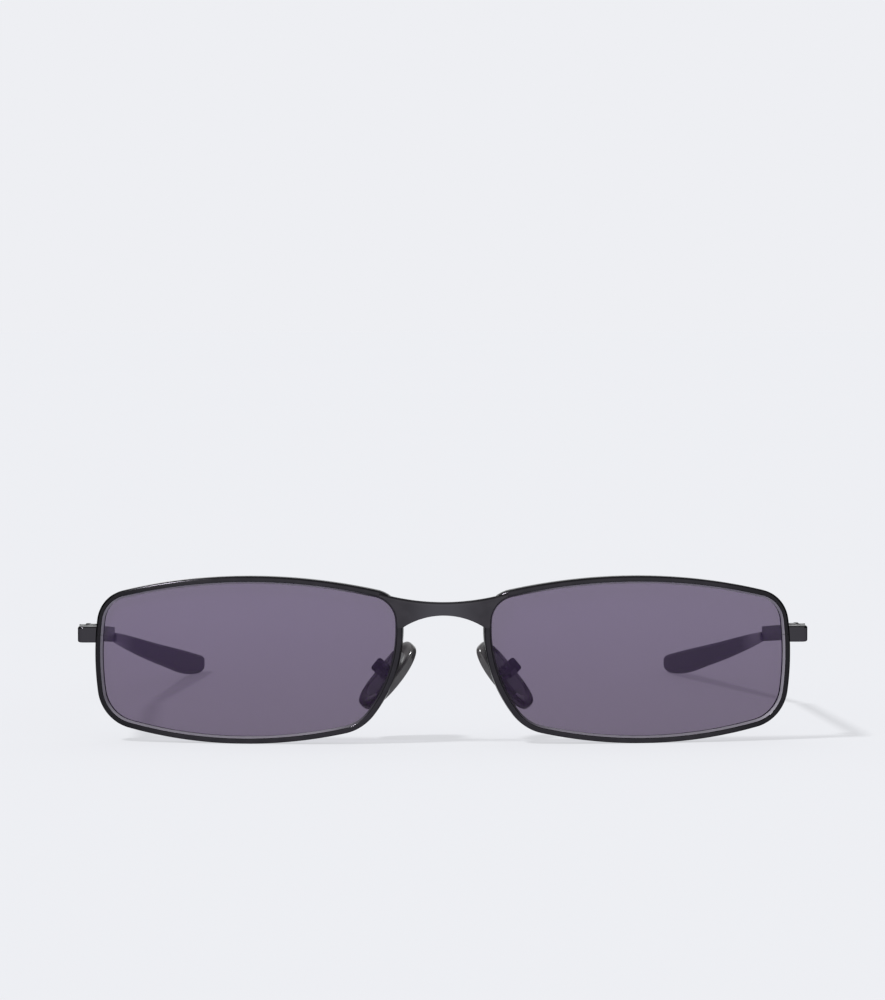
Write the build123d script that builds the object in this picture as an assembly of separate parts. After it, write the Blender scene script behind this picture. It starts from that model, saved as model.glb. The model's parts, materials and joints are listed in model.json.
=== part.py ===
from build123d import *
from math import atan2, cos, degrees, radians, sin, sqrt
import os

# Narrow rectangular metal sunglasses, standing open on their rims and temple tips.
# X runs across the front, to the right as one looks at it, Y runs back along the temples, Z is up.
# The pieces are drawn for the right side, with the front of the rims at Y 0 and the table at Z 0,
# mirrored for the left side, and moved at the end so that the origin is the middle of the footprint.

# Overall sizes, in millimetres and degrees. The front comes out 140 mm wide.
rim_width = 59.1  # one eyewire, outside
rim_height = 31.9
nose_gap = 15.8  # between the two eyewires
side_reach = 3.38  # from the eyewire to the outside of the end piece
wrap_angle = 6.5  # each lens is turned back by this at its outer end
lens_radius = 132.0  # curve of the front of the rims and lenses
overrun = 3.0  # how far a cutting solid passes through what it cuts
joint_clearance = 0.05  # between pieces that are brazed or pressed face to face

# Outline of the eyewire: four arcs as (x, y) shares of its half width and half height.
# x grows outwards, away from the nose.
top_outer_shares = (0.965, 0.735)
top_nasal_shares = (-0.973, 0.771)
bottom_nasal_shares = (-0.734, -0.830)
bottom_outer_shares = (0.952, -0.745)
top_crown_shares = (-0.006, 1.0)
nasal_bulge_shares = (-1.0, 0.343)
bottom_crown_shares = (-0.030, -1.0)
outer_bulge_shares = (1.0, 0.020)
top_outer_radius = 6.5
top_nasal_radius = 6.3
bottom_nasal_radius = 9.0
bottom_outer_radius = 8.0

# Section of the eyewire
rim_face = 0.85  # width of its front
rim_bevel = 0.35  # bright inner bevel, seen beside the lens
rim_bevel_depth = 0.9
rim_depth = 2.6
rim_front_bevel = 0.3
rim_back_bevel = 0.2
rim_split = 0.08  # the wire is cut through at the end piece, so that the lens can be fitted

# Lenses
lens_thickness = 1.5
lens_recess = 1.05  # behind the front of the rim
lens_tongue = 0.5  # how far the edge of the lens reaches into the groove
tongue_thickness = 0.7
lens_clearance = 0.03

# Bridge plate, with its ends laid over the upper nasal corners of the rims.
# Heights are measured from those corners.
bridge_thickness = 1.5
bridge_proud = 0.3  # in front of the rims
bridge_overlap = 4.3  # how far each end reaches over its rim
bridge_end_rise = 0.5  # ends of the upper edge, above the corners
bridge_middle_drop = 1.23  # upper edge at the middle
bridge_height = 2.5  # at the middle
bridge_foot_drop = 6.08  # where the arch runs out on the rims
bridge_top_round = 0.55
bridge_edge_round = 0.25

# End pieces and closing blocks
end_piece_rise = 4.4  # its middle, above the middle of the rim
end_piece_height = 3.05
strip_thickness = 1.2
end_piece_set_back = 0.2  # its front, behind the front of the rim
end_piece_depth = 6.2  # to the butt face that the temple closes against
end_piece_bend = 1.3  # outer radius of the bend
end_piece_corner = 0.4
block_width = 2.3
block_depth = 2.4
block_screw_diameter = 1.2
block_head_diameter = 1.7
block_head_height = 0.5

# Hinges, three knuckles each
knuckle_radius = 1.15
knuckle_gap = 0.1  # from the barrel to the strip beside it
hinge_leaf_length = 2.4
hinge_leaf_thickness = 0.8
hinge_screw_diameter = 0.9
hinge_head_diameter = 1.5
hinge_head_height = 0.45
running_clearance = 0.03
knuckle_clearance = 0.06  # along the pin
butt_clearance = 0.05
slot_width = 0.25
slot_depth = 0.2

# Temples: a flat bar that leans in and drops, then a thin core inside the tip
bar_length = 59.0
bar_lean = 2.2  # inwards over its whole length
bar_drop = 5.5
bar_end_height = 3.05
bar_corner = 0.35
core_height = 1.0
core_thickness = 0.7
core_clearance = 0.03
tip_gap = 1.3  # bare core between the bar and the tip
tip_length = 75.2
tip_lean = 15.6  # inwards over the length of the tip
tip_start_drop = 0.5  # middle of the core below the middle of the bar's end
tip_height = 4.4  # at its deepest
tip_thickness = 2.7
tip_belly = 0.06  # how far its curve sinks between two sections
tip_corner_share = 0.42  # of the smaller side of each section
core_end_share = 0.86  # how far the core runs into the tip

# Sections of the tip: share of its length, of its drop, of its height and of its thickness
tip_section_shares = (
    (0.0, 0.0, 0.36, 0.45),
    (0.025, 0.05, 0.42, 0.51),
    (0.14, 0.18, 0.575, 0.67),
    (0.30, 0.363, 0.69, 0.80),
    (0.48, 0.554, 0.845, 0.91),
    (0.66, 0.735, 0.955, 1.0),
    (0.80, 0.875, 1.0, 1.0),
    (0.90, 0.955, 0.955, 0.96),
    (0.965, 0.995, 0.77, 0.81),
    (1.0, 1.0, 0.42, 0.46),
)

# Nose pads, each placed from the side of its rim and then bent in or out by hand
pad_beside = 3.13  # middle of the pad, outwards from the side of the rim
pad_behind = 9.5  # behind the front of the rims
pad_drop = 3.9  # below the middle of the rim
left_pad_bend = -0.65
right_pad_bend = 0.6
pad_frontal_angle = 39.0  # lower ends apart, seen from the front
pad_splay_angle = 25.5  # rear edges apart, seen from above
pad_length = 15.4
pad_width = 7.6
pad_thickness = 2.1
pad_face_rise = 0.9  # bulge of the face that lies on the nose
pad_top_radius = 2.6
pad_bottom_radius = 2.0
pad_edge_round = 0.45
pad_side_shares = (0.80, 0.76)  # where the side arcs end
pad_widest_share = -0.05

# Core of the pad, with the lug that the screw passes through
pad_core_length = 10.4
pad_core_width = 4.0
pad_core_thickness = 0.7
pad_core_clearance = 0.02
lug_length = 1.2
lug_width = 1.1
box_length = 2.8
box_width = 2.3
box_depth = 2.2
box_wall = 0.35
box_round = 0.6
box_above_pad = 0.45  # gap between the mouth of the box and the pad
box_offset = 0.4  # up the pad from its middle
box_side_clearance = 0.05
pad_screw_diameter = 0.7
pad_screw_head_diameter = 1.2
pad_screw_head_height = 0.3

# Wire arm that carries each pad box
arm_diameter = 1.0
arm_seat = 0.3  # how deep its end sits in the wall of the box
arm_bend_radius = 0.8
arm_root_drop = 3.0  # where the wire starts, below the middle of the rim
arm_root_depth = 1.7  # and behind the front of the rim
arm_reach_back = 2.4


def mirrored(shape):
    """The same piece on the left side."""
    return mirror(shape, about=Plane.YZ)


def sag(x, y=0):
    """How far the curved front lies behind the middle of the lens at a point of its plane."""
    return lens_radius - sqrt(lens_radius**2 - x**2 - y**2)


def eye_plane():
    """Plane of one lens: x outwards, y up, z towards the front. It keeps the nose gap."""
    turn = radians(wrap_angle)
    half = rim_width / 2
    return Plane(
        origin=(nose_gap / 2 + half * cos(turn) + sag(half) * sin(turn), 0, rim_height / 2),
        x_dir=(cos(turn), sin(turn), 0),
        z_dir=(sin(turn), -cos(turn), 0),
    )


def rim_side():
    """Outermost point of the front of the rim."""
    half = rim_width / 2
    return eye_plane().from_local_coords(Vector(half, 0, -sag(half)))


def side_x():
    """Outside of the end piece, half the width of the front."""
    return rim_side().X + side_reach


def end_piece_z():
    return rim_height / 2 + end_piece_rise


def end_piece_front_y():
    return rim_side().Y + end_piece_set_back


def end_piece_back_y():
    return end_piece_front_y() + end_piece_depth


def nasal_corner_z():
    return (1 + top_nasal_shares[1]) * rim_height / 2


def eye_sides():
    """The four side arcs of the outline as (centre, radius) of their circles, and its corners."""
    corners = [
        Vector(x * rim_width / 2, y * rim_height / 2)
        for x, y in (top_outer_shares, top_nasal_shares, bottom_nasal_shares, bottom_outer_shares)
    ]
    crowns = [
        Vector(x * rim_width / 2, y * rim_height / 2)
        for x, y in (top_crown_shares, nasal_bulge_shares, bottom_crown_shares, outer_bulge_shares)
    ]
    sides = []
    for here, crown, after in zip(corners, crowns, corners[1:] + corners[:1]):
        arc = ThreePointArc(here, crown, after)
        sides.append((arc.arc_center, arc.radius))
    return sides, corners


def corner_centre(before, after, radius, corner):
    """Centre of the circle that touches both side circles from inside, near their corner."""
    first, second = before[1] - radius, after[1] - radius
    between = after[0] - before[0]
    along = (first**2 - second**2 + between.length**2) / (2 * between.length)
    across = sqrt(first**2 - along**2)
    base = before[0] + between.normalized() * along
    side = Vector(-between.Y, between.X).normalized() * across
    return min(base + side, base - side, key=lambda spot: (spot - corner).length)


def eye_outline(inset):
    """Outline of the eyewire, drawn in by inset, as a flat face of eight arcs that touch."""
    sides, corners = eye_sides()
    radii = (top_outer_radius, top_nasal_radius, bottom_nasal_radius, bottom_outer_radius)
    rounds = []
    for index, radius in enumerate(radii):
        centre = corner_centre(sides[index - 1], sides[index], radius, corners[index])
        rounds.append((centre, radius))

    def touch(side, corner_round):
        """Point where a side circle and a corner circle touch."""
        direction = (corner_round[0] - side[0]).normalized()
        return side[0] + direction * (side[1] - inset)

    arcs = Curve()
    for index, side in enumerate(sides):
        corner_round, next_round = rounds[index], rounds[(index + 1) % len(rounds)]
        start, end = touch(side, corner_round), touch(side, next_round)
        middle = side[0] + ((start + end) / 2 - side[0]).normalized() * (side[1] - inset)
        arcs += ThreePointArc(start, middle, end)
        before = touch(sides[index - 1], corner_round)
        centre, radius = corner_round
        middle = centre + ((before + start) / 2 - centre).normalized() * (radius - inset)
        arcs += ThreePointArc(before, middle, start)
    return make_face(arcs)


def eye_prism(inset):
    """The outline drawn in by inset and carried through the whole depth of the rim."""
    depth = rim_width / 4
    return Pos(0, 0, -depth) * extrude(eye_outline(inset), amount=depth + overrun)


def eye_shell(front, thickness):
    """Spherical layer that starts at the given depth behind the front of the rim."""
    outer = Sphere(lens_radius - front)
    inner = Sphere(lens_radius - front - thickness)
    return Pos(0, 0, -lens_radius) * Rotation(90, 0, 0) * (outer - inner)


def rim_inset():
    return rim_face + rim_bevel


def lens_solid(clearance=0):
    """Lens with the tongue around its edge, grown by clearance where it cuts the groove."""
    body = eye_prism(rim_inset() + lens_clearance - clearance)
    body &= eye_shell(lens_recess - clearance, lens_thickness + 2 * clearance)
    middle = lens_recess + lens_thickness / 2
    tongue = eye_prism(rim_inset() - lens_tongue - clearance)
    front = middle - tongue_thickness / 2 - clearance
    tongue &= eye_shell(front, tongue_thickness + 2 * clearance)
    return body + tongue


def rim_blank():
    """The eyewire as a plain band, before its edges are worked and it is cut."""
    ring = eye_prism(0) - eye_prism(rim_inset())
    return ring & eye_shell(0, rim_depth)


def rim_face_at(ring, pick):
    """The front or the back face of the band: pick is max or min."""
    centre = Vector(0, 0, -lens_radius)
    caps = [face for face in ring.faces() if face.geom_type == GeomType.SPHERE]
    return pick(caps, key=lambda face: (face.edges()[0].position_at(0.5) - centre).length)


def rim_worked():
    """The band with its outer edges eased, a bevel towards the lens, the groove and the split."""
    ring = rim_blank()
    ring = chamfer(rim_face_at(ring, max).outer_wire().edges(), rim_front_bevel)
    front = rim_face_at(ring, max)
    ring = chamfer(front.inner_wires()[0].edges(), rim_bevel, rim_bevel_depth, reference=front)
    ring = chamfer(rim_face_at(ring, min).outer_wire().edges(), rim_back_bevel)
    ring -= lens_solid(lens_clearance)
    split_z = end_piece_rise
    gap = Box(rim_width / 4, rim_split, rim_width / 2)
    return ring - Pos(rim_width / 2, split_z, 0) * gap


def strip_inner_x():
    return side_x() - strip_thickness


def bridge_face():
    """Front view of the bridge: hollow upper edge, arch below, ends over the rims."""
    end_x, foot_x = nose_gap / 2 + bridge_overlap, nose_gap / 2 - joint_clearance
    end_z, middle_z = bridge_end_rise, -bridge_middle_drop
    arch_z, foot_z = middle_z - bridge_height, -bridge_foot_drop
    inside_x, shoulder_z = foot_x + 2 * rim_inset(), foot_z + rim_inset()
    top = ThreePointArc((-end_x, end_z), (0, middle_z), (end_x, end_z))
    arch = ThreePointArc((foot_x, foot_z), (0, arch_z), (-foot_x, foot_z))
    right = Polyline((end_x, end_z), (end_x, shoulder_z), (inside_x, foot_z), (foot_x, foot_z))
    left = Polyline((-foot_x, foot_z), (-inside_x, foot_z), (-end_x, shoulder_z), (-end_x, end_z))
    return make_face(Curve() + [top, right, arch, left])


def bridge_solid(bands):
    """Stamped plate whose ends lie over the rims and stop at the lens openings."""
    front = Plane(origin=(0, -bridge_proud, nasal_corner_z()), x_dir=(1, 0, 0), z_dir=(0, -1, 0))
    plate = front * extrude(bridge_face(), amount=-bridge_thickness)
    opening = eye_plane() * eye_prism(rim_face)
    plate -= opening
    plate -= mirrored(opening)
    for edge_z, radius in (
        (-bridge_middle_drop, bridge_top_round),
        (-bridge_middle_drop - bridge_height, bridge_edge_round),
    ):
        middle = front.from_local_coords(Vector(0, edge_z, 0))
        plate = fillet(plate.edges().sort_by_distance(middle)[0], radius)
    for band in bands:
        plate -= band
    return plate


def end_piece_solid(band):
    """Strip that starts on the side of the rim, bends back and ends at the butt face."""
    outer_x = side_x()
    inner_x = strip_inner_x()
    root_x = outer_x - strip_thickness - block_width - rim_inset()
    front = end_piece_front_y()
    path = Polyline(
        (root_x, front),
        (outer_x, front),
        (outer_x, end_piece_back_y()),
        (inner_x, end_piece_back_y()),
        (inner_x, front + strip_thickness),
        (root_x, front + strip_thickness),
        close=True,
    )
    face = make_face(path)
    face = fillet(face.vertices().sort_by_distance(Vector(outer_x, front))[0], end_piece_bend)
    bottom = end_piece_z() - end_piece_height / 2
    strip = Pos(0, 0, bottom) * extrude(face, amount=end_piece_height)
    sides = strip.edges().filter_by(lambda e: e.bounding_box().size.Z < joint_clearance)
    outside = sides.filter_by(lambda e: e.bounding_box().max.X > outer_x - joint_clearance)
    flank = [e for e in outside if e.bounding_box().size.X < end_piece_bend + joint_clearance]
    strip = fillet([e for e in flank if e.bounding_box().size.Y > joint_clearance], end_piece_corner)
    return strip - band


def block_place():
    """Centre of the closing blocks, between the side of the rim and the strip."""
    x = strip_inner_x() - joint_clearance - block_width / 2
    y = end_piece_front_y() + strip_thickness + joint_clearance + block_depth / 2
    return x, y


def closing_blocks(band):
    """Upper and lower half, cut to the rim, with the hole for the closing screw."""
    x, y = block_place()
    whole = Pos(x, y, end_piece_z()) * Box(block_width, block_depth, end_piece_height)
    upright = whole.edges().filter_by(Axis.Z).sort_by(Axis.Y)[-2:]
    whole = fillet(upright, end_piece_corner)
    whole -= band
    whole -= Pos(x, y, end_piece_z()) * Cylinder(block_screw_diameter / 2, 2 * end_piece_height)
    head_z = end_piece_z() - end_piece_height / 2
    seat = Cylinder(block_head_diameter / 2 + running_clearance, 2 * block_head_height)
    whole -= Pos(x, y, head_z) * seat
    half = Box(4 * block_width, 4 * block_depth, end_piece_height)
    lift = (end_piece_height + rim_split) / 2
    upper = whole & Pos(x, y, end_piece_z() + lift) * half
    lower = whole & Pos(x, y, end_piece_z() - lift) * half
    return upper, lower


def screw_solid(shank, length, head, head_height):
    """Slotted screw on the Z axis, its head from Z 0 down and its shank up."""
    body = Pos(0, 0, length / 2 - head_height) * Cylinder(shank / 2, length)
    body += Pos(0, 0, -head_height / 2) * Cylinder(head / 2, head_height)
    slot = Box(2 * head, slot_width, 2 * slot_depth)
    return body - Pos(0, 0, -head_height) * slot


def closing_screw():
    x, y = block_place()
    seat_z = end_piece_z() - end_piece_height / 2 + block_head_height
    shank = block_screw_diameter - 2 * running_clearance
    screw = screw_solid(shank, end_piece_height, block_head_diameter, block_head_height)
    return Pos(x, y, seat_z) * screw


def hinge_axis():
    return strip_inner_x() - knuckle_gap - knuckle_radius, end_piece_back_y()


def knuckle_height():
    return (end_piece_height - 2 * knuckle_clearance) / 3


def knuckle(centre_z, height, hole):
    x, y = hinge_axis()
    barrel = Pos(x, y, centre_z) * Cylinder(knuckle_radius, height)
    return barrel, Pos(x, y, centre_z) * Cylinder(hole / 2, 2 * height)


def front_hinge():
    """Leaf brazed inside the end piece, with the upper and the lower knuckle."""
    x, y = hinge_axis()
    inner_x = strip_inner_x()
    step = knuckle_height() + knuckle_clearance
    leaf_x = inner_x - hinge_leaf_thickness / 2
    leaf_size = (hinge_leaf_thickness, hinge_leaf_length, end_piece_height)
    leaf = Pos(leaf_x, y - hinge_leaf_length / 2, end_piece_z()) * Box(*leaf_size)
    clear = Cylinder(knuckle_radius + knuckle_gap / 2, step + knuckle_clearance)
    leaf -= Pos(x, y, end_piece_z()) * clear
    for side in (1, -1):
        barrel, hole = knuckle(end_piece_z() + side * step, knuckle_height(), hinge_screw_diameter)
        web_x = (x + inner_x) / 2
        web = Box(inner_x - x, knuckle_radius, knuckle_height())
        leaf += barrel + Pos(web_x, y - knuckle_radius / 2, end_piece_z() + side * step) * web
        leaf -= hole
    seat = Cylinder(hinge_head_diameter / 2 + running_clearance, 2 * hinge_head_height)
    leaf -= Pos(x, y, end_piece_z() + end_piece_height / 2) * seat
    return leaf


def hinge_screw():
    x, y = hinge_axis()
    top_z = end_piece_z() + end_piece_height / 2
    shank = hinge_screw_diameter - 2 * running_clearance
    length = end_piece_height - slot_depth
    screw = screw_solid(shank, length, hinge_head_diameter, hinge_head_height)
    return Pos(x, y, top_z - hinge_head_height) * Rotation(180, 0, 0) * screw


def temple_start_y():
    return end_piece_back_y() + butt_clearance


def temple_hinge():
    """Leaf brazed inside the temple, with the middle knuckle."""
    x, y = hinge_axis()
    inner_x = strip_inner_x()
    size = (hinge_leaf_thickness, hinge_leaf_length, end_piece_height)
    shift = temple_start_y() + hinge_leaf_length / 2
    leaf = Pos(inner_x - hinge_leaf_thickness / 2, shift, end_piece_z()) * Box(*size)
    for side in (1, -1):
        step = knuckle_height() + knuckle_clearance
        room = Cylinder(knuckle_radius + knuckle_gap / 2, knuckle_height() + 2 * knuckle_clearance)
        leaf -= Pos(x, y, end_piece_z() + side * step) * room
    barrel, hole = knuckle(end_piece_z(), knuckle_height(), hinge_screw_diameter)
    web = Box(inner_x - x, knuckle_radius, knuckle_height())
    leaf += barrel + Pos((x + inner_x) / 2, y + knuckle_radius / 2, end_piece_z()) * web
    return leaf - hole - temple_bar()


def bar_end():
    """Middle of the bar's square end."""
    return Vector(
        side_x() - strip_thickness / 2 - bar_lean,
        temple_start_y() + bar_length,
        end_piece_z() - bar_drop,
    )


def tip_row(share):
    """Drop, height and thickness shares at a share of the tip's length, between the rows."""
    for before, after in zip(tip_section_shares, tip_section_shares[1:]):
        if share <= after[0]:
            part = (share - before[0]) / (after[0] - before[0])
            return [low + part * (high - low) for low, high in zip(before[1:], after[1:])]


def tip_drop():
    """How far the middle of the tip drops, so that its lowest section stands on the table."""
    start_z = bar_end().Z - tip_start_drop
    rows = [row for row in tip_section_shares if row[1]]
    return min((start_z - tip_belly - tip_height * row[2] / 2) / row[1] for row in rows)


def tip_spine(share):
    """Middle of the tip's section at a share of its length."""
    x = bar_end().X - tip_lean * (tip_gap / tip_length + share)
    y = bar_end().Y + tip_gap + tip_length * share
    z = bar_end().Z - tip_start_drop - tip_drop() * tip_row(share)[0]
    return Vector(x, y, z)


def temple_bar():
    """Flat bar from the hinge, leaning in and dropping, with a square end."""
    start, end, half = temple_start_y(), bar_end(), strip_thickness / 2
    plan = Polyline(
        (side_x(), start),
        (side_x() - strip_thickness, start),
        (end.X - half, end.Y),
        (end.X + half, end.Y),
        close=True,
    )
    bar = extrude(make_face(plan), amount=rim_height)
    side = Polyline(
        (start, end_piece_z() - end_piece_height / 2),
        (start, end_piece_z() + end_piece_height / 2),
        (end.Y, end.Z + bar_end_height / 2),
        (end.Y, end.Z - bar_end_height / 2),
        close=True,
    )
    outline = make_face(side)
    for z in (end.Z + bar_end_height / 2, end.Z - bar_end_height / 2):
        corner = outline.vertices().sort_by_distance(Vector(end.Y, z))[0]
        outline = fillet(corner, bar_corner)
    beside = Plane(origin=(0, 0, 0), x_dir=(0, 1, 0), z_dir=(1, 0, 0))
    return bar & beside * extrude(outline, amount=2 * side_x())


def temple_solid():
    """The bar with the thinner core that the tip is pushed on."""
    return temple_bar() + core_solid(0)


def core_solid(clearance):
    """Flat core as straight stretches along the middle of the tip, rooted in the bar."""
    shares = [row[0] for row in tip_section_shares if row[0] < core_end_share]
    spots = [tip_spine(share) for share in shares + [core_end_share]]
    entry = (spots[1] - spots[0]).normalized()
    spots.insert(0, spots[0] - entry * (tip_gap + core_height))
    sections = Sketch()
    for index, spot in enumerate(spots):
        before, after = spots[max(index - 1, 0)], spots[min(index + 1, len(spots) - 1)]
        width, height = core_thickness + 2 * clearance, core_height + 2 * clearance
        sections += section_plane(spot, after - before) * Rectangle(width, height)
    return loft(sections.faces(), ruled=True)


def section_plane(origin, along):
    """Plane across the temple: x outwards, y up."""
    across = Vector(0, 0, 1).cross(along)
    return Plane(origin=origin, x_dir=across * -1, z_dir=along)


def tip_solid():
    """Tip lofted through rounded sections, deepest towards its end, with the core's bore."""
    rows = tip_section_shares
    spots = [tip_spine(row[0]) for row in rows]
    sections = Sketch()
    for index, row in enumerate(rows):
        before, after = spots[max(index - 1, 0)], spots[min(index + 1, len(rows) - 1)]
        height, width = tip_height * row[2], tip_thickness * row[3]
        corner = tip_corner_share * min(height, width)
        plane = section_plane(spots[index], after - before)
        sections += plane * RectangleRounded(width, height, corner)
    return loft(sections.faces()) - core_solid(core_clearance)


def pad_plane(bend):
    """Plane of the pad's arm side: x to its rear edge, y up along it, z away from the nose."""
    lean = radians(pad_frontal_angle)
    splay = radians(pad_splay_angle)
    inward = Vector(-cos(lean), 0, -sin(lean))
    back = Vector(0, 1, 0)
    outward = -(inward * cos(splay) + back * sin(splay))
    width_line = back * cos(splay) - inward * sin(splay)
    middle = Vector(nose_gap / 2 + pad_beside + bend, pad_behind, rim_height / 2 - pad_drop)
    return Plane(origin=middle + outward * (pad_thickness / 2), x_dir=width_line, z_dir=outward)


def pad_outline(length, width):
    """Oval with fuller sides than an ellipse, a little wider below its middle."""
    x = width / 2
    y = length / 2
    end_x = pad_side_shares[0] * x
    end_y = pad_side_shares[1] * y
    corners = ((end_x, end_y), (-end_x, end_y), (-end_x, -end_y), (end_x, -end_y))
    widest = pad_widest_share * y
    crowns = ((0, y), (-x, widest), (0, -y), (x, widest))
    arcs = Curve()
    for here, crown, after in zip(corners, crowns, corners[1:] + corners[:1]):
        arcs += ThreePointArc(here, crown, after)
    face = make_face(arcs)
    radii = (pad_top_radius, pad_top_radius, pad_bottom_radius, pad_bottom_radius)
    for corner, radius in zip(corners, radii):
        spot = face.vertices().sort_by_distance(Vector(*corner))[0]
        face = fillet(spot, radius * width / pad_width)
    return face


def pad_core_face():
    return SlotOverall(pad_core_length, pad_core_width, rotation=90)


def nose_pad(bend):
    """Soft pad with a bulging face on the nose and a pocket for its core."""
    body = extrude(pad_outline(pad_length, pad_width), amount=-pad_thickness)
    radius = ((pad_length / 2) ** 2 + pad_face_rise**2) / (2 * pad_face_rise)
    crown = Pos(0, 0, radius - pad_thickness) * Sphere(radius)
    body &= crown
    rims = body.edges().filter_by(lambda e: e.center().Z > -joint_clearance)
    body = fillet(rims, pad_edge_round)
    pocket = offset(pad_core_face(), amount=pad_core_clearance)
    depth = pad_core_thickness + pad_core_clearance
    body -= Pos(0, 0, -depth) * extrude(pocket, amount=depth + overrun)
    return pad_plane(bend) * body


def box_middle_z():
    return box_above_pad + box_depth / 2


def pad_core(bend):
    """Stiff core plate with the lug that swings in the box."""
    plate = Pos(0, 0, -pad_core_thickness) * extrude(pad_core_face(), amount=pad_core_thickness)
    rise = box_middle_z()
    lug = Pos(0, box_offset, rise / 2) * Box(lug_width, lug_length, rise)
    eye = Pos(0, box_offset, rise) * Rotation(0, 90, 0) * Cylinder(lug_length / 2, lug_width)
    hole_radius = pad_screw_diameter / 2 + running_clearance
    hole = Rotation(0, 90, 0) * Cylinder(hole_radius, 2 * box_width)
    body = plate + lug + eye - Pos(0, box_offset, rise) * hole
    return pad_plane(bend) * body


def pad_box_local():
    middle = Pos(0, box_offset, box_middle_z())
    body = Box(box_width, box_length, box_depth)
    far = body.edges().filter_by(Axis.X).sort_by(Axis.Z)[-2:]
    body = fillet(far, box_round)
    room = lug_width + 2 * box_side_clearance
    pocket = Box(room, box_length - 2 * box_wall, box_depth)
    body -= Pos(0, 0, -box_wall) * pocket
    hole = Cylinder(pad_screw_diameter / 2, box_width)
    body -= Pos(arm_seat, 0, 0) * Rotation(0, 90, 0) * hole
    return middle * body


def pad_box(bend):
    """Small open box, brazed on the end of the arm, that holds the lug."""
    return pad_plane(bend) * pad_box_local()


def pad_screw(bend):
    shank = pad_screw_diameter - 2 * running_clearance
    length = box_width - arm_seat - running_clearance + pad_screw_head_height
    screw = screw_solid(shank, length, pad_screw_head_diameter, pad_screw_head_height)
    place = Pos(box_width / 2, box_offset, box_middle_z()) * Rotation(0, -90, 0)
    return pad_plane(bend) * place * screw


def pad_arm(bend, band):
    """Bent wire from the back of the rim to the front of the pad box."""
    plane = pad_plane(bend)
    centre, radius = eye_sides()[0][1]
    local_y = -arm_root_drop
    side_x = centre.X - sqrt(radius**2 - (local_y - centre.Y) ** 2)
    local_x = side_x + rim_inset() / 2
    depth = sag(local_x, local_y) + arm_root_depth
    root = eye_plane().from_local_coords(Vector(local_x, local_y, -depth))
    elbow = root + Vector(0, arm_reach_back, 0)
    box_front = Vector(-box_width / 2, box_offset, box_middle_z())
    end = plane.from_local_coords(box_front + Vector(arm_seat - joint_clearance, 0, 0))
    knee = plane.from_local_coords(box_front - Vector(arm_bend_radius + arm_diameter, 0, 0))
    path = FilletPolyline(root, elbow, knee, end, radius=arm_bend_radius)
    start = Plane(origin=root, z_dir=(0, 1, 0))
    return sweep(start * Circle(arm_diameter / 2), path) - band


def right_side():
    """Every piece of the right side but those of the nose pad."""
    plane = eye_plane()
    solid_eye = plane * (eye_prism(0) & eye_shell(0, rim_depth))
    band = plane * rim_blank()
    upper, lower = closing_blocks(solid_eye)
    return {
        "rim": plane * rim_worked(),
        "lens": plane * lens_solid(),
        "end_piece": end_piece_solid(solid_eye),
        "closing_block_top": upper,
        "closing_block_bottom": lower,
        "closing_screw": closing_screw(),
        "hinge_front_leaf": front_hinge(),
        "hinge_temple_leaf": temple_hinge(),
        "hinge_screw": hinge_screw(),
        "temple": temple_solid(),
        "temple_tip": tip_solid(),
    }, band


def pad_side(bend, band):
    """Pieces of one nose pad and its arm."""
    box = pad_box(bend)
    arm = pad_arm(bend, band)
    return {
        "pad_arm": arm,
        "pad_box": box - arm,
        "pad_screw": pad_screw(bend),
        "pad_core": pad_core(bend),
        "nose_pad": nose_pad(bend),
    }


def all_pieces():
    side, band = right_side()
    pieces = {"bridge": bridge_solid([band, mirrored(band)])}
    for name, shape in side.items():
        pieces["right_" + name] = shape
        pieces["left_" + name] = mirrored(shape)
    for name, shape in pad_side(right_pad_bend, band).items():
        pieces["right_" + name] = shape
    for name, shape in pad_side(left_pad_bend, band).items():
        pieces["left_" + name] = mirrored(shape)
    return pieces


def write_parts(pieces):
    """Move the origin to the middle of the footprint and write one file for each piece."""
    os.makedirs("parts", exist_ok=True)
    boxes = [shape.bounding_box() for shape in pieces.values()]
    front = min(box.min.Y for box in boxes)
    back = max(box.max.Y for box in boxes)
    floor = min(box.min.Z for box in boxes)
    shift = Pos(0, -(front + back) / 2, -floor)
    print("moved by", shift.position)
    for name, shape in pieces.items():
        placed = shift * shape
        print(name, len(placed.solids()), round(placed.volume, 3), placed.is_valid)
        export_step(placed, "parts/" + name + ".step")


write_parts(all_pieces())
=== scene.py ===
"""Narrow rectangular metal sunglasses: finishes, rounded pieces, light and camera."""

import json
import math

import bmesh
import bpy
import numpy as np
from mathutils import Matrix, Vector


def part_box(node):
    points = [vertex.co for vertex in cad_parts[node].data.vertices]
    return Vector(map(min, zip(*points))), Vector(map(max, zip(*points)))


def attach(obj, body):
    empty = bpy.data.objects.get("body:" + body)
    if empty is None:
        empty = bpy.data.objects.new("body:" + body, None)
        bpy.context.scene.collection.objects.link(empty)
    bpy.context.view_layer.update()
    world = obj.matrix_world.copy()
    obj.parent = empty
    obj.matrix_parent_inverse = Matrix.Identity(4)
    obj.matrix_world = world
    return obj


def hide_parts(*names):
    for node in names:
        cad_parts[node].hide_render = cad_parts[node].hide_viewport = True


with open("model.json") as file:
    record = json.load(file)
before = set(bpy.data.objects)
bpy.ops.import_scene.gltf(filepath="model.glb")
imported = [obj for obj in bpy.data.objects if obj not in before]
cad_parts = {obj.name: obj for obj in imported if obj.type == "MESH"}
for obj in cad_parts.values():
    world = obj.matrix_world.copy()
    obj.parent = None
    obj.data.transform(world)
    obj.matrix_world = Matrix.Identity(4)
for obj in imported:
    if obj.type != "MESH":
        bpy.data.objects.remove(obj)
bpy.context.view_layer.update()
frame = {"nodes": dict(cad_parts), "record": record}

MM = 0.001
SIDES = ("left", "right")

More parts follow.
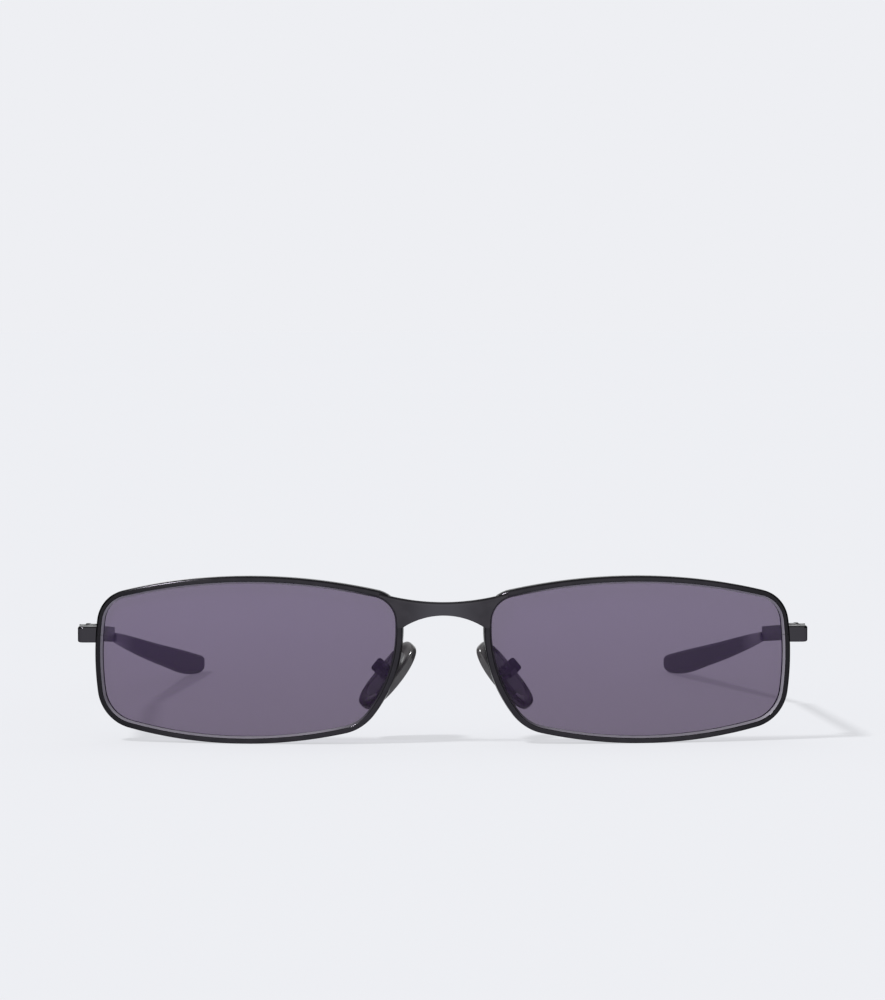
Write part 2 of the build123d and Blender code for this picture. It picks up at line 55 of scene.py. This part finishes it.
# Camera, from the fronts of the rims, in metres and degrees; lens and sensor in millimetres
camera_distance = 0.870
camera_height = 0.0952
camera_place_turn = 0.81
camera_look_turn = 0.796
camera_tilt = 3.202
camera_focal_length = 165.28
camera_sensor = 36.0
camera_reach = (0.05, 50.0)

# Main light: strength, size in degrees, and how far its shadows fall right and back per height
sun_strength = 2.1
sun_size = 8.5
shadow_per_height = (0.56, 0.26)

# Light of the surround on dull surfaces: everywhere, more from above and more from behind.
# A range is how far a direction points that way, -1 to 1, where a change starts and ends.
surround_light = (0.97, 0.98, 1.0)
fill_strength = 0.3
above_range, above_strength = (-0.1, 0.8), 0.22
behind_range, behind_strength = (-0.8, 0.4), 0.08

# Dark cloths that shiny surfaces mirror: on both sides, closer together behind, and overhead
side_cloth_range, side_cloth_depth, side_cloth_lean = (0.66, 0.80), 0.94, 0.15
top_cloth_range, top_cloth_depth = (0.5, 0.85), 0.6

# Background as it is seen, in linear light, and the share of it that the table glows by itself
background_colour = (0.855, 0.863, 0.896)
floor_glow = 0.66

# Half the width of the table, in metres
table_half = 4.0

# How much of a grazing reflection the black metals keep, and the colour of the painted highlight
# amid the bridge
edge_tint = (0.25, 0.25, 0.25)
painted_bridge_highlight = (0.078, 0.076, 0.085)

# Where a change of colour starts and ends, in metres: the painted highlight of the bridge, the
# painted shade of the rims' sides, and the bevel's painted shade at the nose and painted light
# outside, all outwards from the middle; the lenses' paler top, up from the table; and the tips'
# paler start, backwards from the middle of the whole depth
painted_bridge_highlight_range = (0.001, 0.008)
painted_rim_side_shade_range = (0.050, 0.062)
painted_nasal_bevel_shade_range = (0.012, 0.024)
painted_outer_bevel_light_range = (0.058, 0.066)
lens_height_range = (0.002, 0.030)
tip_start_range = (0.001, 0.014)

# Angle, in degrees, past which an edge of a rounded piece stays sharp
sharp_angle = 35.0

# Sizes of the front, in millimetres and degrees, from the middle of the front at the rims' feet
rim_width = 59.1
rim_height = 31.9
nose_gap = 15.8
wrap_angle = 6.5
lens_radius = 132.0
end_piece_rise = 4.4
end_piece_height = 3.05
bridge_proud = 0.3
rim_split = 0.08

# Outline of the eyewire: corners and crowns as shares of its half width and half height
corner_shares = ((0.965, 0.735), (-0.973, 0.771), (-0.734, -0.830), (0.952, -0.745))
crown_shares = ((-0.006, 1.0), (-1.0, 0.343), (-0.030, -1.0), (1.0, 0.020))
corner_radii = (6.5, 6.3, 9.0, 8.0)
arc_steps = 44

# Section of the eyewire: insets from its outside and depths behind its front
plating = 0.03
rim_depth = 2.6
rim_front_round = 0.42
rim_back_round = 0.2
rim_foot_bevel = 0.08
face_end = 0.74
wall_start = (1.03, 0.26)
wall_end = (1.39, 1.02)
wall_back = (1.36, 1.08)
groove_middle = (0.68, 1.8)
groove_back = (1.30, 2.45)
cap_middle = (0.3, 1.8)
edge_steps = 9

# Lenses: depth behind the front, thickness, and insets of their faces and of their pointed edge
lens_recess = 1.05
lens_thickness = 1.5
lens_edge = 1.41
lens_point = 0.72
lens_rings = 14

# Temple tips: end of their bar, gap after it, length, lean inwards, corners and steps
bar_end_x = 67.1
bar_end_y = 72.25
tip_gap = 1.3
tip_length = 75.2
tip_lean = 15.0
tip_corner_share = 0.42
tip_points = 48
tip_body_rings = 60
tip_end_rings = 17
tip_end_share = 0.1
tip_end_power = 1.6

# Upper and lower line of the tip and its width, at shares of its length
tip_rows = (
    (0.0, 15.1, 13.2, 1.22),
    (0.05, 14.62, 12.3, 1.5),
    (0.2, 12.9, 9.75, 1.95),
    (0.4, 10.5, 6.6, 2.3),
    (0.6, 8.2, 3.7, 2.6),
    (0.75, 6.5, 1.55, 2.7),
    (0.85, 5.3, 0.5, 2.7),
    (0.90, 4.7, 0.2, 2.7),
    (0.94, 4.22, 0.06, 2.62),
    (0.965, 3.92, 0.22, 2.5),
    (0.985, 3.62, 0.65, 2.1),
    (1.0, 3.1, 1.35, 1.3),
)

# Nose pads: their middles beside the rims' inner ends, behind the front and below half height,
# how far each is bent outwards, their angles, and their sizes
pad_beside = 3.13
pad_behind = 9.5
pad_drop = 3.9
pad_bends = {"left": -0.63, "right": 0.63}
pad_frontal_angle = 39.0
pad_splay_angle = 25.5
pad_length = 15.4
pad_width = 7.6
pad_thickness = 2.1
pad_face_rise = 0.9
pad_fullness = 2.9
pad_edge_round = 0.5
pad_face_round = 0.4
pad_points = 96
pad_round_steps = 7
pad_face_shares = (0.9, 0.78, 0.6, 0.4, 0.2)

# Pocket of the pad's core, and its rings as shares of its outline and depths
pocket_length = 10.44
pocket_width = 4.04
pocket_depth = 0.72
pocket_end_slope = 3.0
pocket_rows = ((0.5, pocket_depth), (1.0, pocket_depth), (1.0, 0.06), (1.03, 0.0))

# Places of the colour sockets among all those of a Mix node
mix_first, mix_second, mix_result = 6, 7, 2


class Value:
    """A socket of a material, with Python's arithmetic making Math nodes."""

    def __init__(self, maker, socket):
        self.maker = maker
        self.socket = socket

    def math(self, operation, *others):
        return self.maker.add("ShaderNodeMath", {"operation": operation}, self, *others)

    def __add__(self, other):
        return self.math("ADD", other)

    __radd__ = __add__

    def __mul__(self, other):
        return self.math("MULTIPLY", other)

    __rmul__ = __mul__

    def __sub__(self, other):
        return self.math("SUBTRACT", other)

    def __rsub__(self, other):
        return (self * -1) + other

    def clamp(self):
        """The value kept between 0 and 1."""
        return self.math("MAXIMUM", 0.0).math("MINIMUM", 1.0)

    def step(self, low, high):
        """Smooth step from 0 below low to 1 above high."""
        settings = {"interpolation_type": "SMOOTHSTEP"}
        return self.maker.add("ShaderNodeMapRange", settings, self, low, high, 0.0, 1.0)


class Maker:
    """Adds nodes to one material or world and links them."""

    def __init__(self, owner):
        owner.use_nodes = True
        self.tree = owner.node_tree
        self.tree.nodes.clear()

    def node(self, kind, settings=None, *inputs, **named):
        """A node with its settings first, then its sockets in order or by name."""
        node = self.tree.nodes.new(kind)
        for name, setting in (settings or {}).items():
            setattr(node, name, setting)
        for index, value in enumerate(inputs):
            self.feed(node.inputs[index], value)
        for name, value in named.items():
            self.feed(node.inputs[name.replace("_", " ")], value)
        return node

    def add(self, kind, settings=None, *inputs, output=0, **named):
        """The value of one output of a new node."""
        return Value(self, self.node(kind, settings, *inputs, **named).outputs[output])

    def feed(self, socket, value):
        """Link a value or a shader to a socket, or set a number or colour on it."""
        if isinstance(value, Value):
            self.tree.links.new(value.socket, socket)
        elif isinstance(value, bpy.types.Node):
            self.tree.links.new(value.outputs[0], socket)
        elif isinstance(value, tuple) and socket.type == "RGBA":
            socket.default_value = (*value, 1.0)
        else:
            socket.default_value = value

    def position(self):
        return self.add("ShaderNodeTexCoord", output="Object")

    def axes(self, vector):
        node = self.node("ShaderNodeSeparateXYZ", None, vector)
        return [Value(self, output) for output in node.outputs]

    def noise(self, vector, scale, detail=2.0):
        return self.add("ShaderNodeTexNoise", None, vector, Scale=scale, Detail=detail)

    def rays(self, *kinds):
        """1 for a ray of one of the kinds, 0 for any other."""
        path = self.node("ShaderNodeLightPath")
        return sum(Value(self, path.outputs[f"Is {kind} Ray"]) for kind in kinds).clamp()

    def mix(self, factor, first, second):
        """Colour that goes from first to second."""
        node = self.node("ShaderNodeMix", {"data_type": "RGBA"}, factor)
        self.feed(node.inputs[mix_first], first)
        self.feed(node.inputs[mix_second], second)
        return Value(self, node.outputs[mix_result])

    def bump(self, height, strength, distance):
        return self.add("ShaderNodeBump", None, Height=height, Strength=strength, Distance=distance)

    def principled(self, **sockets):
        return self.node("ShaderNodeBsdfPrincipled", None, **sockets)

    def mixed(self, factor, first, second):
        """Shader that goes from first to second."""
        return self.node("ShaderNodeMixShader", None, factor, first, second)

    def surface(self, shader, kind="ShaderNodeOutputMaterial"):
        self.node(kind, None, shader)


def material(name):
    """A new material and the maker of its nodes."""
    made = bpy.data.materials.new(name)
    return made, Maker(made)


def black_metal(name, deep, worn, outer):
    """Black plated metal: dark mirror, uneven in its polish, with a painted highlight at the middle
    of the bridge and, on the rims, painted shade on the outer sides.
    """
    made, maker = material(name)
    place = maker.position()
    cloud = maker.noise(place, 420.0, 3.0)
    grain = maker.noise(place, 9000.0)
    across = maker.axes(place)[0].math("ABSOLUTE")
    colour = maker.mix(cloud.step(0.35, 0.7), deep, worn)
    # Painted shade: the outer sides take the last colour, which on the rims is darker
    colour = maker.mix(across.step(*painted_rim_side_shade_range), colour, outer)
    # Painted highlight: a paler colour at the middle of the bridge
    colour = maker.mix(across.step(*painted_bridge_highlight_range), painted_bridge_highlight, colour)
    metal = maker.principled(
        Base_Color=colour,
        Metallic=1.0,
        Specular_Tint=edge_tint,
        Roughness=0.14 + cloud * 0.06,
        Normal=maker.bump(grain, 0.03, 0.00002),
    )
    maker.surface(metal)
    return made


def satin_metal():
    """Rougher black metal of the hinges and other small worked pieces."""
    made, maker = material("satin_metal")
    place = maker.position()
    cloud = maker.noise(place, 900.0, 3.0)
    colour = maker.mix(cloud.step(0.3, 0.7), (0.05, 0.05, 0.052), (0.08, 0.08, 0.083))
    rough = 0.3 + cloud * 0.12
    metal = maker.principled(
        Base_Color=colour, Metallic=1.0, Specular_Tint=edge_tint, Roughness=rough
    )
    maker.surface(metal)
    return made


def bevel_metal():
    """Satin bevel between the eyewire's face and the lens, with painted shade darkening it at the
    nose and painted light making it paler outside.
    """
    made, maker = material("bevel_metal")
    place = maker.position()
    cloud = maker.noise(place, 700.0)
    across = maker.axes(place)[0].math("ABSOLUTE")
    worn = maker.mix(cloud, (0.25, 0.235, 0.275), (0.31, 0.29, 0.335))
    # Painted shade: darker towards the nose
    colour = maker.mix(across.step(*painted_nasal_bevel_shade_range), (0.03, 0.028, 0.034), worn)
    # Painted light: paler at the outer sides
    colour = maker.mix(across.step(*painted_outer_bevel_light_range), colour, (0.40, 0.38, 0.43))
    maker.surface(maker.principled(Base_Color=colour, Metallic=0.35, Roughness=0.4 + cloud * 0.1))
    return made


def screw_steel():
    """Bare steel, uneven where it was turned."""
    made, maker = material("screw_steel")
    place = maker.position()
    grain = maker.noise(place, 3000.0, 3.0)
    colour = maker.mix(grain, (0.22, 0.22, 0.225), (0.34, 0.34, 0.35))
    maker.surface(maker.principled(Base_Color=colour, Metallic=1.0, Roughness=0.25 + grain * 0.15))
    return made


def lens_tint():
    """Dark violet grey lens: each face lets part of the light through and mirrors a little."""
    made, maker = material("lens_tint")
    place = maker.position()
    height = maker.axes(place)[2]
    cloud = maker.noise(place, 60.0)
    shade = height.step(*lens_height_range)
    colour = maker.mix(shade, (0.016, 0.001, 0.029), (0.032, 0.015, 0.066))
    tint = maker.principled(Base_Color=colour, Roughness=0.03 + cloud * 0.02, IOR=1.35)
    clear = maker.node("ShaderNodeBsdfTransparent", None, (0.949, 0.872, 1.0))
    maker.surface(maker.mixed(0.545 - shade * 0.02 + cloud * 0.01, clear, tint))
    return made


def tip_plastic():
    """Black plastic of the temple tips, satin from handling and paler at their start."""
    made, maker = material("tip_plastic")
    place = maker.position()
    cloud = maker.noise(place, 300.0, 3.0)
    grain = maker.noise(place, 6000.0)
    dark = maker.mix(cloud.step(0.3, 0.7), (0.020, 0.019, 0.021), (0.028, 0.027, 0.029))
    from_bar = maker.axes(place)[1].step(*tip_start_range)
    plastic = maker.principled(
        Base_Color=maker.mix(from_bar, (0.21, 0.20, 0.22), dark),
        Roughness=0.42 + cloud * 0.1,
        Specular_IOR_Level=0.2,
        Normal=maker.bump(grain, 0.08, 0.00002),
    )
    maker.surface(plastic)
    return made


def pad_plastic():
    """Polished dark plastic of the nose pads."""
    made, maker = material("pad_plastic")
    place = maker.position()
    cloud = maker.noise(place, 500.0, 3.0)
    colour = maker.mix(cloud.step(0.35, 0.7), (0.052, 0.048, 0.051), (0.078, 0.073, 0.076))
    plastic = maker.principled(Base_Color=colour, Roughness=0.12 + cloud * 0.1, Coat_Weight=0.4)
    maker.surface(plastic)
    return made


def floor_finish():
    """Pale table: part glow where it is seen, part lit, so that it keeps a light shadow."""
    made, maker = material("table_finish")
    cloud = maker.noise(maker.position(), 3.0)
    colour = maker.mix(cloud, (0.775, 0.783, 0.812), (0.785, 0.793, 0.822))
    seen = maker.rays("Camera", "Glossy", "Transmission")
    lit = maker.node("ShaderNodeBsdfDiffuse", None, colour)
    glow = maker.node("ShaderNodeEmission", None, background_colour, 1.0)
    maker.surface(maker.mixed(seen * floor_glow, lit, glow))
    return made


def world_light():
    """Pale surround: flat where it is seen, with dark cloths beside and above the piece."""
    world = bpy.data.worlds.new("surround")
    bpy.context.scene.world = world
    maker = Maker(world)
    side, back, up = maker.axes(maker.add("ShaderNodeTexCoord", output="Generated"))
    seen = maker.rays("Camera", "Transmission")
    mirrored = maker.rays("Glossy")
    beside = (side.math("ABSOLUTE") + back * side_cloth_lean).step(*side_cloth_range)
    cloths = 1.0 - side_cloth_depth * beside - top_cloth_depth * up.step(*top_cloth_range)
    lit = up.step(*above_range) * above_strength + back.step(*behind_range) * behind_strength
    strength = mirrored * cloths.clamp() + (1 - mirrored) * (lit + fill_strength)
    colour = maker.mix(seen, surround_light, background_colour)
    shader = maker.node("ShaderNodeBackground", None, colour, seen + (1 - seen) * strength)
    maker.surface(shader, "ShaderNodeOutputWorld")


def placed(name, data):
    """A new object of the scene that holds a lamp, a camera or a mesh."""
    made = bpy.data.objects.new(name, data)
    bpy.context.scene.collection.objects.link(made)
    return made


def sun_lamp():
    """Main light from the upper left, whose shadows fall to the right and a little back."""
    data = bpy.data.lights.new("sun_lamp", "SUN")
    data.energy = sun_strength
    data.angle = math.radians(sun_size)
    made = placed("sun_lamp", data)
    right, back = shadow_per_height
    made.rotation_euler = (math.atan(math.hypot(right, back)), 0.0, math.atan2(-right, back))


def table():
    """Pale floor under the rims and the temple tips."""
    corners = np.array([(-1, -1, 0), (1, -1, 0), (1, 1, 0), (-1, 1, 0)]) * table_half
    mesh = bpy.data.meshes.new("table")
    mesh.from_pydata(corners.tolist(), [], [(0, 1, 2, 3)])
    mesh.materials.append(floor_finish())
    made = placed("table", mesh)


def front_origin():
    """The frame's place, in millimetres, of the front of the rims at the middle of their feet."""
    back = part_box("bridge")[0][1] / MM + bridge_proud
    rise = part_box("right_end_piece")[1][2] / MM
    return np.array([0.0, back, rise - rim_height / 2 - end_piece_rise - end_piece_height / 2])


def camera():
    """The photograph's view: a long lens a little above the rims, turned slightly to the right."""
    data = bpy.data.cameras.new("camera")
    data.lens = camera_focal_length
    data.sensor_width = camera_sensor
    data.clip_start, data.clip_end = camera_reach
    made = placed("camera", data)
    turn = math.radians(camera_place_turn)
    origin = front_origin() * MM
    made.location = (
        -camera_distance * math.sin(turn),
        origin[1] - camera_distance * math.cos(turn),
        origin[2] + camera_height,
    )
    made.rotation_euler = (math.radians(90 - camera_tilt), 0.0, -math.radians(camera_look_turn))
    bpy.context.scene.camera = made


def closed_piece(name, rings, first, last, side):
    """A closed skin over rings of points, joined in their order, with a pole at each end.

    rings is an array of ring, point of the ring, and x, y, z in millimetres of the right side.
    """
    count, around = rings.shape[:2]
    points = np.concatenate([[first], rings.reshape(-1, 3), [last]])
    mirror = (-1 if side == "left" else 1, 1, 1)
    points = (points * mirror + front_origin()) * MM
    here = np.arange(around)
    after = np.roll(here, -1)
    starts = 1 + around * np.arange(count - 1)[:, None]
    quads = (starts + here, starts + after, starts + around + after, starts + around + here)
    faces = np.stack(quads, axis=-1).reshape(-1, 4).tolist()
    end = 1 + around * (count - 1)
    faces += np.stack([np.zeros_like(here), 1 + after, 1 + here], axis=-1).tolist()
    faces += np.stack([end + here, end + after, np.full_like(here, len(points) - 1)], -1).tolist()
    mesh = bpy.data.meshes.new(name)
    mesh.from_pydata(points.tolist(), [], faces)
    skin = bmesh.new()
    skin.from_mesh(mesh)
    bmesh.ops.recalc_face_normals(skin, faces=skin.faces)
    skin.to_mesh(mesh)
    skin.free()
    mesh.polygons.foreach_set("use_smooth", np.ones(len(mesh.polygons), bool))
    mesh.set_sharp_from_angle(angle=math.radians(sharp_angle))
    return placed(name, mesh)


def dress(made, node, body, finish):
    """Put a piece on its body in place of a node, with the finish of its slot."""
    made.data.materials.append(finish)
    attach(made, body)
    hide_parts(node)


def circle_through(first, middle, last):
    """Centre and radius of the circle through three points."""
    chords = np.array([middle - first, last - first])
    centre = first + np.linalg.solve(chords, (chords**2).sum(axis=1) / 2)
    return centre, np.linalg.norm(centre - first)


def corner_circle(before, after, radius, corner):
    """Circle of the radius that touches both side circles from inside, near their corner."""
    first, second = before[1] - radius, after[1] - radius
    between = after[0] - before[0]
    length = np.linalg.norm(between)
    along = (first**2 - second**2 + length**2) / (2 * length)
    across = np.sqrt(first**2 - along**2)
    base = before[0] + between / length * along
    side = np.array([-between[1], between[0]]) / length * across
    return min(base + side, base - side, key=lambda spot: np.linalg.norm(spot - corner)), radius


def eye_circles():
    """Side circles through two corners and their crown, and the corner circles that join them."""
    half = np.array([rim_width / 2, rim_height / 2])
    corners = np.array(corner_shares) * half
    crowns = np.array(crown_shares) * half
    following = np.roll(corners, -1, axis=0)
    sides = [circle_through(*spots) for spots in zip(corners, crowns, following)]
    rounds = [
        corner_circle(sides[index - 1], sides[index], radius, corners[index])
        for index, radius in enumerate(corner_radii)
    ]
    return sides, rounds


def eye_path(split):
    """Centre, radius and direction of the arc at each step around the outline.

    The direction turns once round, from just above the split in the outer side to just below it.
    Two arcs meet in the direction from one centre to the other, so the path has no kinks.
    """
    sides, rounds = eye_circles()

    def turn(start, end):
        return math.atan2(*(end - start)[::-1])

    centre, radius = sides[-1]
    first = math.asin((end_piece_rise + split / 2 - centre[1]) / radius)
    last = math.asin((end_piece_rise - split / 2 - centre[1]) / radius) + 2 * math.pi
    arcs, bends = [sides[-1]], [first]
    for index, corner in enumerate(rounds):
        bends += [turn(sides[index - 1][0], corner[0]), turn(sides[index][0], corner[0])]
        arcs += [corner, sides[index]]
    bends = np.unwrap(bends + [last])
    shares = np.arange(arc_steps) / arc_steps
    angles = (bends[:-1, None] + np.diff(bends)[:, None] * shares).ravel()
    angles = np.append(angles, bends[-1])
    which = np.append(np.repeat(np.arange(len(arcs)), arc_steps), len(arcs) - 1)
    centres = np.array([arc[0] for arc in arcs])[which]
    radii = np.array([arc[1] for arc in arcs])[which]
    return centres, radii, np.stack([np.cos(angles), np.sin(angles)], axis=-1)


def eye_points(path, insets):
    """Flat points at insets from the outline: arc centre + (arc radius - inset) * direction."""
    centres, radii, directions = path
    reach = radii[:, None] - np.asarray(insets)
    return centres[:, None] + reach[..., None] * directions[:, None]


def on_front(flat, depths):
    """Flat points laid on the sphere of the front at a depth, turned back by the wrap angle.

    z = sqrt((R - depth)^2 - x^2 - y^2) - R in the plane of the lens.
    """
    x, y = flat[..., 0], flat[..., 1]
    z = np.sqrt((lens_radius - depths) ** 2 - x**2 - y**2) - lens_radius
    turn, half = math.radians(wrap_angle), rim_width / 2
    sag = lens_radius - math.sqrt(lens_radius**2 - half**2)
    across, along = math.cos(turn), math.sin(turn)
    middle = nose_gap / 2 + half * across + sag * along
    right, back = middle + x * across + z * along, x * along - z * across
    return np.stack([right, back, rim_height / 2 + y], axis=-1)


def rim_section():
    """Section of the eyewire as insets and depths: a flat face between two rounded edges, a
    slanted inner wall, the groove of the lens, the back, and the outside."""
    quarter = np.linspace(0, math.pi / 2, edge_steps)
    slope = math.atan2(wall_end[1] - wall_start[1], wall_end[0] - wall_start[0])
    lean = np.linspace(0, slope, edge_steps)
    round_radius = (wall_start[0] - face_end) / math.sin(slope)
    outer = (rim_front_round * (1 - np.cos(quarter)), rim_front_round * (1 - np.sin(quarter)))
    inner = (face_end + round_radius * np.sin(lean), round_radius * (1 - np.cos(lean)))
    back = (
        rim_back_round * (1 - np.sin(quarter)),
        rim_depth - rim_back_round * (1 - np.cos(quarter)),
    )
    foot = groove_back[0]
    walls = np.transpose(
        [
            wall_end,
            wall_back,
            groove_middle,
            groove_back,
            (foot, rim_depth - rim_foot_bevel),
            (foot - rim_foot_bevel, rim_depth),
        ]
    )
    insets = np.concatenate([outer[0], inner[0], walls[0], back[0]]) - plating
    depths = np.concatenate([outer[1], inner[1], walls[1], back[1]])
    return insets, depths


def rim(side):
    """The section carried around the outline, cut through at the split and capped there."""
    path = eye_path(rim_split)
    insets, depths = rim_section()
    rings = on_front(eye_points(path, insets), depths)
    middles = on_front(eye_points(path, cap_middle[:1]), cap_middle[1])[:, 0]
    made = closed_piece(side + "_rim_wire", rings, middles[0], middles[-1], side)
    # Faces come ring by ring, one for each step of the section, and the bevel is the step that
    # follows the front's outer and inner rounding
    strips = np.zeros(len(made.data.polygons), int)
    bevel_strip = 2 * edge_steps - 1
    strips[: (len(rings) - 1) * len(insets)].reshape(-1, len(insets))[:, bevel_strip] = 1
    made.data.polygons.foreach_set("material_index", strips)
    return made


def lens(side):
    """Two spherical faces of rings that shrink to their middles, joined by a pointed edge."""
    path = [part[:-1] for part in eye_path(0)]
    shares = np.linspace(0, 1, lens_rings + 1)[1:]
    back = lens_recess + lens_thickness
    edge = eye_points(path, [lens_edge])[:, 0]
    point = eye_points(path, [lens_point])[:, 0]
    front_rings = [on_front(edge * share, lens_recess) for share in shares]
    back_rings = [on_front(edge * share, back) for share in shares[::-1]]
    point_ring = on_front(point, lens_recess + lens_thickness / 2)
    rings = np.array(front_rings + [point_ring] + back_rings)
    middle = np.zeros(2)
    first, last = on_front(middle, lens_recess), on_front(middle, back)
    return closed_piece(side + "_tinted_lens", rings, first, last, side)


def between_rows(rows, shares):
    """Cubic curves through the rows, with the harmonic mean of the slopes beside each row."""
    rows = np.array(rows)
    at, values = rows[:, 0], rows[:, 1:]
    widths = np.diff(at)[:, None]
    slopes = np.diff(values, axis=0) / widths
    product = slopes[:-1] * slopes[1:]
    total = np.where(product > 0, slopes[:-1] + slopes[1:], 1.0)
    inner = np.where(product > 0, 2 * product / total, 0.0)
    slopes = np.concatenate([slopes[:1], inner, slopes[-1:]])
    index = np.clip(np.searchsorted(at, shares, side="right") - 1, 0, len(at) - 2)
    part = ((shares - at[index]) / widths[index, 0])[:, None]
    width = widths[index]
    rest = 1 - part
    low = rest**2 * ((1 + 2 * part) * values[index] + part * width * slopes[index])
    high = part**2 * ((1 + 2 * rest) * values[index + 1] - rest * width * slopes[index + 1])
    return low + high


def tip_skin(side):
    """Rounded rectangles across the middle line of the tip, growing deeper towards its end."""
    body = np.linspace(0, 1 - tip_end_share, tip_body_rings)
    end = 1 - tip_end_share * np.linspace(1, 0, tip_end_rings)[1:] ** tip_end_power
    shares = np.concatenate([body, end])
    upper, lower, widths = between_rows(tip_rows, shares).T
    spine = np.stack(
        [
            bar_end_x - tip_lean * (tip_gap / tip_length + shares),
            bar_end_y + tip_gap + tip_length * shares,
            (upper + lower) / 2,
        ],
        axis=-1,
    )
    along = np.gradient(spine, axis=0)
    along /= np.linalg.norm(along, axis=1)[:, None]
    across = np.cross(along, (0, 0, 1))
    across /= np.linalg.norm(across, axis=1)[:, None]
    up = np.cross(across, along)
    turn = (np.arange(tip_points) + 0.5) / tip_points * 2 * math.pi
    width, height = widths[:, None] / 2, (upper - lower)[:, None] / 2
    corner = 2 * tip_corner_share * np.minimum(width, height)
    x = np.sign(np.cos(turn)) * (width - corner) + corner * np.cos(turn)
    y = np.sign(np.sin(turn)) * (height - corner) + corner * np.sin(turn)
    rings = spine[:, None] + x[..., None] * across[:, None] + y[..., None] * up[:, None]
    return closed_piece(side + "_tip_cover", rings, spine[0], spine[-1], side)


def pad_axes():
    """Directions of a nose pad: to its rear edge, up along it, and away from the nose."""
    lean, splay = math.radians(pad_frontal_angle), math.radians(pad_splay_angle)
    inward = np.array([-math.cos(lean), 0, -math.sin(lean)])
    back = np.array([0.0, 1.0, 0.0])
    outward = -(inward * math.cos(splay) + back * math.sin(splay))
    rear = back * math.cos(splay) - inward * math.sin(splay)
    return np.array([rear, np.cross(outward, rear), outward])


def pad_rings():
    """Rings of a soft pad in its own axes, from the pocket of its core to its bulging face.

    The outline is the oval |x/a|^p + |y/b|^p = 1 and the face is part of a sphere.
    """
    turn = np.arange(pad_points) / pad_points * 2 * math.pi
    power = 2 / pad_fullness
    oval_x = np.sign(np.cos(turn)) * np.abs(np.cos(turn)) ** power * pad_width / 2
    oval_y = np.sign(np.sin(turn)) * np.abs(np.sin(turn)) ** power * pad_length / 2
    pocket_round = pocket_width / 2
    straight = pocket_length / 2 - pocket_round
    pocket_x = pocket_round * np.cos(turn)
    pocket_y = pocket_round * np.sin(turn)
    pocket_y += straight * np.clip(np.sin(turn) * pocket_end_slope, -1, 1)
    crown = ((pad_length / 2) ** 2 + pad_face_rise**2) / (2 * pad_face_rise)

    def oval(inset):
        return oval_x * (1 - 2 * inset / pad_width), oval_y * (1 - 2 * inset / pad_length)

    def face(x, y):
        return crown - pad_thickness - np.sqrt(crown**2 - x**2 - y**2)

    rings = []
    for share, depth in pocket_rows:
        rings.append((pocket_x * share, pocket_y * share, np.full_like(turn, -depth)))
    for angle in np.linspace(0, math.pi / 2, pad_round_steps):
        x, y = oval(pad_edge_round * (1 - math.sin(angle)))
        rings.append((x, y, np.full_like(turn, -pad_edge_round * (1 - math.cos(angle)))))
    for angle in np.linspace(0, math.pi / 2, pad_round_steps):
        x, y = oval(pad_face_round * (1 - math.cos(angle)))
        edge = face(*oval(pad_face_round)) + pad_face_round * (1 - math.sin(angle))
        rings.append((x, y, edge))
    for share in pad_face_shares:
        x, y = [part * share for part in oval(pad_face_round)]
        rings.append((x, y, face(x, y)))
    return np.array(rings).transpose(0, 2, 1)


def pad_skin(side):
    """Soft pad, with the floor of its core's pocket and the middle of its face as its poles."""
    axes = pad_axes()
    beside = nose_gap / 2 + pad_beside + pad_bends[side]
    middle = np.array([beside, pad_behind, rim_height / 2 - pad_drop])
    middle += axes[2] * pad_thickness / 2
    pocket = middle - axes[2] * pocket_depth
    face = middle - axes[2] * pad_thickness
    return closed_piece(side + "_pad_skin", middle + pad_rings() @ axes, pocket, face, side)


def finish_nodes(finishes):
    """Give each piece of the frame its finish by the record's slot."""
    for entry in frame["record"]["subparts"]:
        mesh = frame["nodes"][entry["node"]].data
        mesh.materials.clear()
        mesh.materials.append(finishes[entry["material_slot"]])


def rounded_pieces(finishes):
    """The rounded pieces that stand for the plainer solids of the frame."""
    for side in SIDES:
        wire = rim(side)
        dress(wire, side + "_rim", "front", finishes["rim_metal"])
        wire.data.materials.append(finishes["bevel_metal"])
        dress(lens(side), side + "_lens", "front", finishes["lens_tint"])
        tip = tip_skin(side)
        dress(tip, side + "_temple_tip", side + "_temple", finishes["tip_plastic"])
        pad = pad_skin(side)
        dress(pad, side + "_nose_pad", side + "_pad", finishes["pad_plastic"])


def all_finishes():
    """A finish for each slot of the record, and those of the rims' face and bevel."""
    black = black_metal(
        "black_metal", (0.048, 0.045, 0.051), (0.057, 0.053, 0.060), (0.054, 0.051, 0.058)
    )
    # Its last colour is the painted shade that darkens the rims' outer sides
    rim_metal = black_metal(
        "rim_metal", (0.034, 0.032, 0.037), (0.040, 0.037, 0.043), (0.022, 0.021, 0.024)
    )
    steel = screw_steel()
    return {
        "frame_metal": black,
        "rim_metal": rim_metal,
        "bevel_metal": bevel_metal(),
        "hinge_metal": satin_metal(),
        "arm_metal": black,
        "core_metal": steel,
        "screw_steel": steel,
        "lens_tint": lens_tint(),
        "tip_plastic": tip_plastic(),
        "pad_plastic": pad_plastic(),
    }


bpy.context.scene.view_settings.view_transform = "Standard"
world_light()
sun_lamp()
table()
camera()
slot_finishes = all_finishes()
finish_nodes(slot_finishes)
rounded_pieces(slot_finishes)
